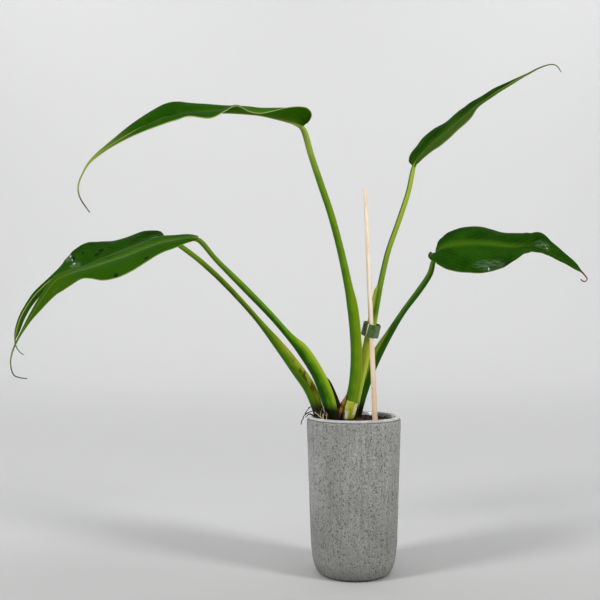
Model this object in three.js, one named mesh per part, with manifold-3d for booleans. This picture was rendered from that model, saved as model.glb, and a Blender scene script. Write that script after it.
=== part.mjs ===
// A young monstera with five long leaves, in a clear nursery pot inside a tall grey pot, tied to a stick.
// Millimetres, +Z up, origin at the middle of the grey pot's foot, the leaves spread along X.
import * as THREE from "three";
import { mergeVertices } from "three/addons/utils/BufferGeometryUtils.js";
import Module from "manifold-3d";

const wasm = await Module();
wasm.setup();

// Grey pot
const POT_HEIGHT = 152;
const POT_RIM_R = 46.8;
const POT_MOUTH_R = 43.2;
const POT_FOOT_R = 32.5;
const POT_FLOOR = 7;
const SIDES_ROUND = 40;

// Nursery pot, hanging by its lip on the grey rim
const LIP_R = 45.6;
const LIP_THICK = 2.5;
const NURSERY_TOP_R = 42.2;
const NURSERY_FOOT_R = 33;
const NURSERY_DEPTH = 80;
const NURSERY_WALL = 0.8;
const DRAIN_R = 1.8;
const DRAIN_COUNT = 5;

// Soil
const SOIL_TOP = 149;
const CHIP_COUNT = 24;

// Fits and thicknesses
const GAP = 0.3;
const BLADE_EDGE = 0.7;
const BLADE_MIDDLE = 1.1;
const KEEL = 1.5;

// Stick and sleeve
const STAKE_FOOT = [22.2, -19.8, 90];
const STAKE_TOP = [12.7, 9, 382.4];
const STAKE_FOOT_R = 2.7;
const STAKE_TOP_R = 2.15;
const CLIP_HEIGHT = 13;
const CLIP_WALL = 0.9;
const CLIP_MIDDLE = [17.6, -0.8, 240];
const CLIP_LEAN = 13;

// Loose roots at the rim
const DARK_ROOT_R = 0.6;
const PALE_ROOT_R = 1;

// A leaf stalk's rows from the soil up: x, y, z of its middle, its radius, and how far its sheath's two
// lips stand out. inner is the side that the lips and the groove face.
const STALKS = {
  a: {
    inner: [1, 0, 0.3],
    rows: [
      [-3.5, -7, 170, 6.6, 0.5],
      [0, -7.5, 184, 5.8, 1],
      [1.5, -8, 200, 5.5, 1.4],
      [1.7, -8.5, 220, 5.2, 1.6],
      [-0.1, -9, 245, 4.9, 2],
      [-2.9, -9.5, 266, 4.5, 2.2],
      [-6.2, -10, 286, 4.1, 0.3],
      [-13.9, -11, 321, 3.6, 0],
      [-23.1, -12, 355, 3.4, 0],
      [-33.2, -12, 385, 3.3, 0],
      [-42.8, -12, 413, 3.3, 0],
      [-50.3, -12, 439, 3, 0],
    ],
  },
  b: {
    inner: [1, 0, 0.6],
    rows: [
      [-20, -8, 130, 5, 0.3],
      [-21.5, -9, 146, 5.4, 0.5],
      [-23, -10, 157, 5.4, 1],
      [-29, -12, 176, 5.2, 2.5],
      [-38, -15, 198, 4.8, 3.2],
      [-51.3, -18, 219, 4.7, 3.4],
      [-63.6, -21, 233.5, 3.3, 1.2],
      [-81.4, -24, 254.7, 2.9, 0],
      [-107.2, -29, 281, 2.9, 0],
      [-133.1, -33, 307.3, 2.8, 0],
      [-149, -36, 326.5, 2.4, 0],
    ],
  },
  c: {
    inner: [1, 0, 0.6],
    rows: [
      [-29, -1, 130, 5, 0.3],
      [-32.5, 1, 145, 5.4, 0.5],
      [-36, 2, 161, 5.4, 1],
      [-44.5, 4, 181, 5.3, 3],
      [-56, 6, 198, 4.9, 3.6],
      [-72.4, 9, 221, 4.4, 2.4],
      [-98.1, 12, 252.3, 2.8, 0],
      [-127.3, 14, 284.3, 2.6, 0],
      [-151.8, 15, 307.3, 2.5, 0],
      [-175, 15, 325.5, 2.4, 0],
      [-190, 14, 333.5, 2.2, 0],
    ],
  },
  d: {
    inner: [-1, 0, 0.3],
    rows: [
      [-4, 8, 128, 4.8, 0.3],
      [-3, 7, 141, 5.2, 0.5],
      [-1, 6.5, 155, 5.2, 1],
      [4, 6, 178, 4.8, 1.5],
      [10.3, 5, 204, 4.4, 2],
      [15.6, 4, 225, 3.8, 3],
      [19.7, 3.7, 245, 3.4, 3.5],
      [23.5, 4, 265, 3.1, 3.2],
      [26.2, 4.5, 279, 2.9, 2.8],
      [27.7, 4.7, 287, 2.9, 0.2],
      [35.2, 6, 318, 2.9, 0],
      [45.5, 8, 348, 3, 0],
      [56, 11, 378, 2.6, 0],
      [62.4, 13.5, 404, 2.3, 0],
    ],
  },
  e: {
    inner: [-1, 0, 0.6],
    rows: [
      [0, 18, 128, 4.4, 0.3],
      [2, 17, 142, 4.6, 0.5],
      [4.5, 17, 153, 4.6, 1],
      [10, 16.5, 173, 4.4, 2.5],
      [18.4, 16, 197, 4.2, 3.5],
      [28, 15, 218, 3.9, 3.4],
      [37.5, 13.5, 236, 3.5, 1],
      [50.3, 11, 258, 2.2, 0],
      [66.3, 8, 280, 2.4, 0],
      [76.6, 5, 296, 2.5, 0],
      [81.5, 2.5, 314, 2.5, 0],
    ],
  },
};

// A leaf blade's rows from its stalk to its tip: x, y, z of its midrib, its half width, and how many
// degrees its near half and its far half lift above the flat. lobes is how far the round lobes at the
// base of its near and far half reach back past the stalk, arch how much each half is rounded, and
// turn is 1 for a leaf that runs towards +X and -1 for one that runs towards -X.
const BLADES = {
  a: {
    turn: -1,
    lobes: [2, 2],
    arch: 0.16,
    rows: [
      [-50, -12, 441.5, 19.5, 46, 78],
      [-66, -14, 447.5, 23, 22, 52],
      [-91, -17, 452, 27, -6, 29],
      [-116, -20, 454, 29, -4, 24],
      [-141, -22, 454, 29, -25, 28],
      [-161, -24, 452, 27.5, -18, 37],
      [-186, -26, 447, 24, -29, 46],
      [-212, -29, 435.5, 17, -31, 46],
      [-237, -31, 420.5, 8.5, -28, 42],
      [-255, -32, 403, 3.8, -30, 40],
      [-266, -32, 383, 2.4, -20, 30],
      [-265, -32, 367, 1.8, -20, 30],
      [-257, -31, 354, 0.8, -20, 30],
    ],
  },
  b: {
    turn: -1,
    lobes: [2, 2],
    arch: 0.16,
    rows: [
      [-150.5, -36, 329, 6, -20, 25],
      [-166, -38, 328, 16, -30, 22],
      [-187, -41, 324, 24, -35, 18],
      [-209, -44, 316, 29, -41, 14],
      [-230, -47, 307, 29, -46, 13],
      [-250, -49, 300, 26, -32, 12],
      [-268, -51, 292, 20, -36, 8],
      [-283, -52, 285, 15, -52, 15],
      [-296, -52, 270, 9, -50, 30],
      [-308, -51, 250, 4.5, -40, 30],
      [-319, -50, 230, 3, -30, 30],
      [-325, -49, 211, 2, -20, 20],
      [-322, -48, 197, 1.4, -20, 20],
      [-310, -48, 195, 0.8, -20, 20],
    ],
  },
  c: {
    turn: -1,
    lobes: [2, 2],
    arch: 0.16,
    rows: [
      [-193, 14, 335.5, 6, -10, 25],
      [-206, 13, 334, 17, -10, 30],
      [-228, 12, 323, 26, -15, 33],
      [-251, 11, 312, 30, -20, 42],
      [-272, 9, 302, 29, -25, 60],
      [-290, 7, 298, 21, -35, 35],
      [-305, 4, 290, 13.5, -45, 20],
      [-316, 2, 279, 9, -45, 22],
      [-328, 0, 263, 5.5, -40, 30],
      [-334, -3, 244, 3.5, -30, 30],
      [-336, -6, 229, 2, -20, 20],
      [-328, -8, 216, 0.8, -20, 20],
    ],
  },
  d: {
    turn: 1,
    lobes: [0, 0],
    arch: 0.12,
    rows: [
      [63, 14, 406.5, 4, -10, 50],
      [72.5, 13, 422, 16, -18, 42],
      [89, 11, 438, 22, -21, 28],
      [109, 8, 453, 24, -14, 27],
      [130, 5, 468.5, 20, 2, 32],
      [153, 2, 484, 12, -6, 33],
      [171, 0, 495.5, 5, -10, 30],
      [185, -2, 504, 2, -10, 25],
      [198, -3, 507, 1.4, -10, 20],
      [205, -3.5, 503.5, 1.1, -10, 20],
      [208.5, -4, 497.5, 0.8, -10, 20],
    ],
  },
  e: {
    turn: 1,
    lobes: [9, 0],
    arch: 0.14,
    rows: [
      [82, 2, 320.5, 7, -60, 12],
      [88.5, 1, 323, 23, -68, 20],
      [97, 0, 325, 29, -70, 29],
      [119, -3, 326.5, 33, -64, 36],
      [140, -6, 325.5, 31, -58, 32],
      [159, -9, 323, 26, -36, 37],
      [175, -11, 322, 20, -18, 50],
      [190, -13, 320, 14.5, -28, 58],
      [206, -15, 311.5, 8.5, -30, 48],
      [219, -16, 303, 3.6, -20, 30],
      [226.5, -17, 297, 2, -20, 20],
      [229.5, -17, 289.5, 1.4, -20, 20],
      [221.5, -17, 288.5, 0.8, -20, 20],
    ],
  },
};

// Colour, roughness and metalness of each material
const paint = (color, roughness) => new THREE.MeshStandardMaterial({ color, roughness, metalness: 0 });
const CONCRETE = paint("#8d8d8b", 0.9);
const CLEAR_PLASTIC = paint("#dfe3e1", 0.3);
const SOIL = paint("#3b2c20", 1);
const STEM_GREEN = paint("#8f9a2c", 0.5);
const STALK_GREEN = paint("#4f7a1c", 0.45);
const LEAF_GREEN = paint("#2c5514", 0.35);
const DRY_BROWN = paint("#8a5a24", 0.7);
const DRY_BLACK = paint("#241a12", 0.8);
const ROOT_DARK = paint("#2e2820", 0.8);
const ROOT_PALE = paint("#b09468", 0.8);
const STICK = paint("#e3c9a0", 0.6);
const SLEEVE = paint("#5d7040", 0.3);

const group = new THREE.Group();

// A closed geometry as a solid that can be joined and cut
function solid(geometry) {
  const bare = geometry.clone();
  bare.deleteAttribute("normal");
  bare.deleteAttribute("uv");
  const merged = mergeVertices(bare, 1e-4);
  const vertProperties = merged.attributes.position.array;
  const triVerts = new Uint32Array(merged.index.array);
  return new wasm.Manifold(new wasm.Mesh({ numProp: 3, vertProperties, triVerts }));
}

// Adds a solid's largest body to the model as a named mesh
function place(name, shape, material) {
  const bodies = shape.decompose();
  bodies.sort((p, q) => q.volume() - p.volume());
  const mesh = bodies[0].getMesh();
  const geometry = new THREE.BufferGeometry();
  geometry.setAttribute("position", new THREE.BufferAttribute(mesh.vertProperties, 3));
  geometry.setIndex(new THREE.BufferAttribute(mesh.triVerts, 1));
  geometry.computeVertexNormals();
  const piece = new THREE.Mesh(geometry, material);
  piece.name = name;
  group.add(piece);
}

function geometryOf(points, faces) {
  const geometry = new THREE.BufferGeometry().setFromPoints(points);
  geometry.setIndex(faces);
  return geometry;
}

// Smooth value between rows, at u from 0 at the first row to 1 at the last
function along(rows, u) {
  const last = rows.length - 1;
  const i = Math.min(Math.floor(u * last), last - 1);
  const f = u * last - i;
  return rows[0].map((_, k) => {
    const p1 = rows[i][k];
    const p2 = rows[i + 1][k];
    const p0 = i > 0 ? rows[i - 1][k] : 2 * p1 - p2;
    const p3 = i + 2 <= last ? rows[i + 2][k] : 2 * p2 - p1;
    const bend = f * (2 * p0 - 5 * p1 + 4 * p2 - p3 + f * (3 * p1 - p0 - 3 * p2 + p3));
    return p1 + 0.5 * f * (p2 - p0 + bend);
  });
}

function middle(rows, u) {
  return new THREE.Vector3(...along(rows, u).slice(0, 3));
}

function heading(rows, u) {
  const step = 1e-3;
  const ahead = middle(rows, Math.min(u + step, 1));
  return ahead.sub(middle(rows, Math.max(u - step, 0))).normalize();
}

// A closed body through rings of points that turn the same way about its course
function loft(rings) {
  const sides = rings[0].length;
  const points = rings.flat();
  const faces = [];
  for (let i = 0; i + 1 < rings.length; i++) {
    for (let j = 0; j < sides; j++) {
      const a = i * sides + j;
      const b = i * sides + ((j + 1) % sides);
      faces.push(a, b, b + sides, a, b + sides, a + sides);
    }
  }
  for (const [ring, start, flip] of [
    [rings[0], 0, true],
    [rings[rings.length - 1], points.length - sides, false],
  ]) {
    const centre = ring.reduce((sum, p) => sum.add(p), new THREE.Vector3()).divideScalar(sides);
    points.push(centre);
    for (let j = 0; j < sides; j++) {
      const a = start + j;
      const b = start + ((j + 1) % sides);
      faces.push(points.length - 1, flip ? b : a, flip ? a : b);
    }
  }
  return solid(geometryOf(points, faces));
}

// A stalk: round at the top, and lower down with a groove between two lips on its inner side
function stalk({ rows, inner }, { sides = 12, steps = 2, extra = 0 } = {}) {
  const lipAngle = THREE.MathUtils.degToRad(32);
  const lipSpread = THREE.MathUtils.degToRad(20);
  const count = (rows.length - 1) * steps;
  const rings = [];
  for (let i = 0; i <= count; i++) {
    const u = i / count;
    const [x, y, z, radius, wing] = along(rows, u);
    const course = heading(rows, u);
    const out = new THREE.Vector3(...inner).projectOnPlane(course).normalize();
    const side = course.clone().cross(out);
    const ring = [];
    for (let j = 0; j < sides; j++) {
      const angle = (2 * Math.PI * j) / sides;
      const fromInner = Math.abs(angle > Math.PI ? angle - 2 * Math.PI : angle);
      const lip = Math.exp(-(((fromInner - lipAngle) / lipSpread) ** 2));
      const reach = radius + Math.max(wing, 0) * lip + extra;
      const point = new THREE.Vector3(x, y, z);
      point.addScaledVector(out, reach * Math.cos(angle));
      point.addScaledVector(side, reach * Math.sin(angle));
      ring.push(point);
    }
    rings.push(ring);
  }
  return loft(rings);
}

// A point of a blade's upper face: u runs from the stalk to the tip, s from -1 at the near margin
// through 0 at the midrib to 1 at the far margin
function bladePoint({ rows, turn, lobes, arch }, u, s) {
  const [x, y, z, half, near, far] = along(rows, u);
  const course = heading(rows, u);
  const across = new THREE.Vector3(0, 1, 0).projectOnPlane(course).normalize();
  const up = course.clone().cross(across).multiplyScalar(turn);
  const lift = THREE.MathUtils.degToRad(s < 0 ? near : far);
  const sideways = across.clone().multiplyScalar(Math.sign(s) * Math.cos(lift));
  sideways.addScaledVector(up, Math.sin(lift));
  const raised = across.clone().multiplyScalar(-Math.sign(s) * Math.sin(lift));
  raised.addScaledVector(up, Math.cos(lift));
  const out = Math.abs(s);
  const back = lobes[s < 0 ? 0 : 1] * Math.max(0, 1 - u * (rows.length - 1)) ** 2;
  const point = new THREE.Vector3(x, y, z);
  point.addScaledVector(sideways, half * out);
  point.addScaledVector(raised, 4 * arch * half * out * (1 - out));
  point.addScaledVector(course, -back * out);
  return point;
}

// A blade as a closed sheet whose two faces are split into triangles alike, with a keel below the midrib
function blade(leaf, { steps = 3, extra = 0, keeled = true } = {}) {
  const columns = keeled ? [-1, -0.7, -0.4, -0.1, 0, 0.1, 0.4, 0.7, 1] : [-1, -0.5, 0, 0.5, 1];
  const count = (leaf.rows.length - 1) * steps;
  const step = 0.01;
  const upper = [];
  const lower = [];
  for (let i = 0; i <= count; i++) {
    const u = i / count;
    for (const s of columns) {
      const run = bladePoint(leaf, Math.min(u + step, 1), s);
      run.sub(bladePoint(leaf, Math.max(u - step, 0), s));
      const width = bladePoint(leaf, u, Math.min(s + step, 1));
      width.sub(bladePoint(leaf, u, Math.max(s - step, -1)));
      const normal = run.cross(width).normalize().multiplyScalar(leaf.turn);
      const body = BLADE_EDGE + (BLADE_MIDDLE - BLADE_EDGE) * (1 - Math.abs(s));
      const keel = keeled && s === 0 ? KEEL * (1 - u) ** 0.7 : 0;
      const top = bladePoint(leaf, u, s);
      upper.push(top.clone().addScaledVector(normal, extra));
      lower.push(top.addScaledVector(normal, -body - keel - extra));
    }
  }
  const wide = columns.length;
  const points = [...upper, ...lower];
  const faces = [];
  const face = (a, b, c) => faces.push(...(leaf.turn > 0 ? [a, b, c] : [a, c, b]));
  const below = upper.length;
  for (let i = 0; i < count; i++) {
    for (let j = 0; j + 1 < wide; j++) {
      const a = i * wide + j;
      face(a, a + wide, a + wide + 1);
      face(a, a + wide + 1, a + 1);
      face(below + a, below + a + wide + 1, below + a + wide);
      face(below + a, below + a + 1, below + a + wide + 1);
    }
  }
  const rim = [];
  for (let j = 0; j < wide; j++) rim.push(j);
  for (let i = 1; i <= count; i++) rim.push(i * wide + wide - 1);
  for (let j = wide - 2; j >= 0; j--) rim.push(count * wide + j);
  for (let i = count - 1; i > 0; i--) rim.push(i * wide);
  for (let k = 0; k < rim.length; k++) {
    const a = rim[k];
    const b = rim[(k + 1) % rim.length];
    face(a, b, below + b);
    face(a, below + b, below + a);
  }
  return solid(geometryOf(points, faces));
}

// Draws the same numbers from 0 to 1 on every run
function draws(seed) {
  let state = seed;
  return () => {
    state = (state * 16807) % 2147483647;
    return state / 2147483647;
  };
}

function turned(profile) {
  const lathe = new THREE.LatheGeometry(profile, SIDES_ROUND);
  return solid(lathe.rotateX(Math.PI / 2));
}

function greyPot() {
  const wall = new THREE.Path();
  wall.moveTo(0, 0);
  wall.lineTo(POT_FOOT_R, 0);
  wall.bezierCurveTo(38.2, 0.6, 41.2, 13, 42.8, 32);
  const outside = wall.getPoints(7);
  const inside = [
    [42.2, 125],
    [38.4, 30],
    [34, 13],
    [26, POT_FLOOR],
    [0, POT_FLOOR],
  ];
  const rim = [
    [POT_RIM_R - 0.2, POT_HEIGHT - 3],
    [POT_RIM_R, POT_HEIGHT - 1],
    [POT_RIM_R - 0.8, POT_HEIGHT],
    [POT_MOUTH_R, POT_HEIGHT],
  ];
  const rest = [...rim, ...inside].map(([r, z]) => new THREE.Vector2(r, z));
  return turned([...outside, ...rest]);
}

function nurseryRadius(z) {
  const top = POT_HEIGHT + GAP;
  const rise = (z - (top - NURSERY_DEPTH)) / NURSERY_DEPTH;
  return NURSERY_FOOT_R + (NURSERY_TOP_R - NURSERY_FOOT_R) * rise;
}

function nurseryPot() {
  const seat = POT_HEIGHT + GAP;
  const foot = seat - NURSERY_DEPTH;
  const profile = [
    [0, foot],
    [NURSERY_FOOT_R, foot],
    [NURSERY_TOP_R, seat],
    [LIP_R, seat],
    [LIP_R, seat + LIP_THICK - 0.7],
    [LIP_R - 0.7, seat + LIP_THICK],
    [NURSERY_TOP_R, seat + LIP_THICK],
    [NURSERY_TOP_R - NURSERY_WALL, seat + LIP_THICK - 0.6],
    [NURSERY_FOOT_R - NURSERY_WALL, foot + 1],
    [0, foot + 1],
  ];
  let pot = turned(profile.map(([r, z]) => new THREE.Vector2(r, z)));
  for (let i = 0; i < DRAIN_COUNT; i++) {
    const angle = (2 * Math.PI * i) / DRAIN_COUNT;
    const hole = new THREE.CylinderGeometry(DRAIN_R, DRAIN_R, 6, 10).rotateX(Math.PI / 2);
    hole.translate(24 * Math.cos(angle), 24 * Math.sin(angle), foot);
    pot = pot.subtract(solid(hole));
  }
  return pot;
}

// Soil with bark chips sunk into its top
function soilBody() {
  const foot = POT_HEIGHT + GAP - NURSERY_DEPTH + 1 + GAP;
  const side = NURSERY_WALL + GAP + 0.1;
  const profile = [
    [0, foot],
    [nurseryRadius(foot) - side, foot],
    [nurseryRadius(SOIL_TOP) - side, SOIL_TOP],
    [30, SOIL_TOP + 0.6],
    [0, SOIL_TOP + 1.2],
  ];
  let body = turned(profile.map(([r, z]) => new THREE.Vector2(r, z)));
  const draw = draws(11);
  for (let i = 0; i < CHIP_COUNT; i++) {
    const angle = i * 2.4;
    const radius = 35 * Math.sqrt((i + 0.5) / CHIP_COUNT);
    const chip = new THREE.BoxGeometry(5 + 5 * draw(), 4 + 3 * draw(), 2.5 + 2 * draw());
    chip.rotateX(0.6 * (draw() - 0.5));
    chip.rotateY(0.6 * (draw() - 0.5));
    chip.rotateZ(Math.PI * draw());
    chip.translate(radius * Math.cos(angle), radius * Math.sin(angle), SOIL_TOP + 0.9 + draw());
    body = body.add(solid(chip));
  }
  return body;
}

// Short stem with a swollen node, on which stalk a stands
const STEM = {
  inner: [1, 0, 0],
  rows: [
    [-10, -5, 118, 6.2, 0],
    [-8, -5.5, 138, 6.8, 0],
    [-6.5, -6, 152, 6.6, 0],
    [-5, -6.4, 160, 7, 0],
    [-3.2, -6.9, 167.5, 7.5, 0],
    [-2.8, -7, 170, 7, 0],
  ],
};

function stick(extra) {
  const foot = new THREE.Vector3(...STAKE_FOOT);
  const top = new THREE.Vector3(...STAKE_TOP);
  const length = foot.distanceTo(top);
  const profile = [
    [0, 0],
    [STAKE_FOOT_R - 0.6 + extra, 0],
    [STAKE_FOOT_R + extra, 1],
    [STAKE_TOP_R + extra, length - 0.7],
    [STAKE_TOP_R - 0.5 + extra, length],
    [0, length],
  ];
  const lathe = new THREE.LatheGeometry(profile.map(([r, h]) => new THREE.Vector2(r, h)), 14);
  const up = new THREE.Vector3(0, 1, 0);
  lathe.applyQuaternion(new THREE.Quaternion().setFromUnitVectors(up, top.sub(foot).normalize()));
  return solid(lathe.translate(foot.x, foot.y, foot.z));
}

// Seven-sided plastic sleeve round the stick and stalk d
function sleeve() {
  const corners = [
    [-9.3, 0],
    [-4.9, -8.6],
    [2.6, -9.6],
    [8.6, -3],
    [7.8, 7.5],
    [-1, 10.2],
    [-8.5, 8.5],
  ];
  const outline = (reach) => corners.map(([x, y]) => {
    const corner = new THREE.Vector2(x, y);
    return corner.setLength(corner.length() + reach);
  });
  const shape = new THREE.Shape(outline(0));
  shape.holes.push(new THREE.Path(outline(-CLIP_WALL)));
  const band = new THREE.ExtrudeGeometry(shape, { depth: CLIP_HEIGHT, bevelEnabled: false });
  band.translate(0, 0, -CLIP_HEIGHT / 2);
  band.rotateY(THREE.MathUtils.degToRad(CLIP_LEAN));
  return solid(band.translate(...CLIP_MIDDLE));
}

// Thin roots that run together at one knot
function roots(courses, radius) {
  return courses
    .map((course) => stalk(
      { rows: course.map((p) => [...p, radius, 0]), inner: [0, 0.3, 1] },
      { sides: 5, steps: 2 },
    ))
    .reduce((all, one) => all.add(one));
}

const DARK_ROOTS = [
  [[-33, -9, 147], [-36, -9, 154], [-41, -10, 161], [-47.5, -9, 160], [-50.5, -8, 155], [-52, -8, 147]],
  [[-33, -9, 147], [-35, -12, 156], [-39, -14, 164], [-43, -14, 166], [-46.5, -12, 162], [-48, -10, 158]],
  [[-33, -9, 147], [-35, -13, 154], [-39, -17, 159], [-45, -18, 159.5], [-48, -16, 155]],
];
const PALE_ROOTS = [
  [[-33, -17, 147], [-33.5, -18, 153], [-31, -20, 157.5], [-28, -21, 154.5], [-26.5, -21, 148]],
  [[-33, -17, 147], [-33, -17, 153], [-31, -17.5, 158.5], [-28.5, -17, 161.5]],
];

// Dried sheaths: narrow curled strips at the feet of the stalks
const BROWN_SHEATH = {
  turn: -1,
  lobes: [0, 0],
  arch: 0.2,
  rows: [
    [-15.5, -13, 150, 5, 60, -30],
    [-15.5, -13, 158, 5, 60, -30],
    [-13, -12, 166, 4, 60, -30],
    [-9.5, -11, 174, 2.2, 60, -30],
    [-7, -10, 178, 0.8, 60, -30],
  ],
};
const BLACK_SHEATH = {
  turn: -1,
  lobes: [0, 0],
  arch: 0.2,
  rows: [
    [-14.5, -4, 148, 3.4, 20, 20],
    [-14, -5, 158, 4, 20, 20],
    [-16.5, -8, 170, 3.6, 20, 20],
    [-21, -12, 182, 2.6, 20, 20],
    [-27, -15, 194, 0.8, 20, 20],
  ],
};

// Each piece grown by the gap, to cut its neighbours clear of it
const margin = GAP + 0.05;
const letters = Object.keys(STALKS);
const stalkRooms = letters.map((letter) => stalk(STALKS[letter], { extra: margin }));
const stalksRoom = stalkRooms.reduce((all, one) => all.add(one), stalk(STEM, { extra: margin }));
const uprightsRoom = stalksRoom.add(stick(margin));
const strip = { steps: 2, keeled: false };
const brownRoom = blade(BROWN_SHEATH, { ...strip, extra: margin });
const blackRoom = blade(BLACK_SHEATH, { ...strip, extra: margin });
const rootsRoom = roots(DARK_ROOTS, DARK_ROOT_R + margin).add(roots(PALE_ROOTS, PALE_ROOT_R + margin));

place("outer_pot", greyPot(), CONCRETE);
place("nursery_pot", nurseryPot(), CLEAR_PLASTIC);
const holes = [uprightsRoom, brownRoom, blackRoom, rootsRoom];
place("soil", holes.reduce((rest, hole) => rest.subtract(hole), soilBody()), SOIL);
place("stem", stalk(STEM).subtract(stalkRooms[0]), STEM_GREEN);
for (const letter of letters) {
  const leafRoom = blade(BLADES[letter], { extra: margin });
  place("petiole_" + letter, stalk(STALKS[letter]).subtract(leafRoom), STALK_GREEN);
  place("blade_" + letter, blade(BLADES[letter]), LEAF_GREEN);
}
place("brown_sheath", blade(BROWN_SHEATH, strip).subtract(uprightsRoom).subtract(blackRoom), DRY_BROWN);
place("black_sheath", blade(BLACK_SHEATH, strip).subtract(uprightsRoom), DRY_BLACK);
place("dark_roots", roots(DARK_ROOTS, DARK_ROOT_R).subtract(uprightsRoom), ROOT_DARK);
place("pale_roots", roots(PALE_ROOTS, PALE_ROOT_R).subtract(uprightsRoom), ROOT_PALE);
place("stake", stick(0), STICK);
place("clip", sleeve(), SLEEVE);

export default group;
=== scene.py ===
import math
import random

import bpy
from mathutils import Euler, Matrix, Vector, noise


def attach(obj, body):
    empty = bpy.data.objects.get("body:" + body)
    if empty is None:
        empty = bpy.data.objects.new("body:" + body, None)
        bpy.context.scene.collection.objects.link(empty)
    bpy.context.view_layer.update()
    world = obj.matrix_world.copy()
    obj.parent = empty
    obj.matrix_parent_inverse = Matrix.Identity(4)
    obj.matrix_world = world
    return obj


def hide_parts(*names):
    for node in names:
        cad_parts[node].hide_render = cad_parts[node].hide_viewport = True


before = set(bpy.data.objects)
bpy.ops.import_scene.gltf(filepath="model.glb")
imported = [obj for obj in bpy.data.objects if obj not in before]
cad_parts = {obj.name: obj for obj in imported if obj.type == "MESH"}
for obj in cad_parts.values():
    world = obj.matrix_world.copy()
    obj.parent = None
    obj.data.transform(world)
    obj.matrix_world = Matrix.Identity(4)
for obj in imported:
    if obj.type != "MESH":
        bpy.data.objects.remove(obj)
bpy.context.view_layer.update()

MM = 0.001

# The grey pot: one tall cylinder of unglazed, concrete-look ceramic, cast in a mould. Its wall runs almost
# straight down and is rounded in to a small flat foot. The skin is rough, with grit, pits and run marks.
POT_SIDES = 90
POT_WALL_RINGS = 36
POT_GRAIN = [(7, 0.5), (2.2, 0.6)]
ROUGH_BELOW = 149.5
ROUGH_FADE = 2.5
POT_FOOT = [(32.5, 0), (34.6, 0.6), (37.2, 3), (39.4, 8.2), (41.1, 16), (42.2, 24.5), (42.8, 32)]
POT_RIM = [(46.7, 149), (46.8, 151), (46, 152), (43.2, 152)]
POT_INSIDE = [(42.8, 149), (42.2, 125), (38.4, 30), (34, 13), (26, 7), (6, 7)]
CONCRETE_PALE = "c0c0bc"
CONCRETE_GREY = "9c9c99"
CONCRETE_DARK = "6a6a68"
CONCRETE_LOW_SHADE_AND_TONE = "6f7168"
CONCRETE_CONTACT_SHADOW = "2b2b29"


def turned(name, profile, sides):
    """A piece turned about the pot's axis: a disc drawn on from each radius and height to the next, in mm"""
    radius, height = profile[0]
    bpy.ops.mesh.primitive_circle_add(vertices=sides, radius=radius * MM, fill_type="NGON")
    piece = bpy.context.object
    piece.name = name
    bpy.ops.object.mode_set(mode="EDIT")
    bpy.ops.transform.translate(value=(0, 0, height * MM))
    for next_radius, next_height in profile[1:]:
        rise = (0, 0, (next_height - height) * MM)
        growth = next_radius / radius
        bpy.ops.mesh.extrude_region_move(TRANSFORM_OT_translate={"value": rise})
        bpy.ops.transform.resize(value=(growth, growth, 1), center_override=(0, 0, next_height * MM))
        radius, height = next_radius, next_height
    bpy.ops.mesh.select_all(action="SELECT")
    bpy.ops.mesh.normals_make_consistent(inside=False)
    bpy.ops.object.mode_set(mode="OBJECT")
    return piece


def worked(piece, kind, **settings):
    """Puts a modifier on a piece and applies it"""
    bpy.ops.object.select_all(action="DESELECT")
    bpy.context.view_layer.objects.active = piece
    modifier = piece.modifiers.new(kind.lower(), kind)
    for setting, value in settings.items():
        setattr(modifier, setting, value)
    bpy.ops.object.modifier_apply(modifier=modifier.name)


def roughened(piece, grain, height):
    """Pushes a pot's skin in and out by a cloudy pattern, in mm, but leaves its rim smooth"""
    rough = piece.vertex_groups.get("rough") or piece.vertex_groups.new(name="rough")
    for vertex in piece.data.vertices:
        share = (ROUGH_BELOW - vertex.co.z / MM) / ROUGH_FADE
        rough.add([vertex.index], min(max(share, 0), 1), "REPLACE")
    texture = bpy.data.textures.new(piece.name + "_grain", "CLOUDS")
    texture.noise_scale = grain * MM
    worked(piece, "DISPLACE", texture=texture, strength=height * MM, mid_level=0.5, vertex_group="rough")


def smoothed(piece, degrees=40):
    """Shades a piece smooth, apart from the edges that turn by more than that"""
    bpy.ops.object.select_all(action="DESELECT")
    bpy.context.view_layer.objects.active = piece
    piece.select_set(True)
    bpy.ops.object.shade_smooth_by_angle(angle=math.radians(degrees))


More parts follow.
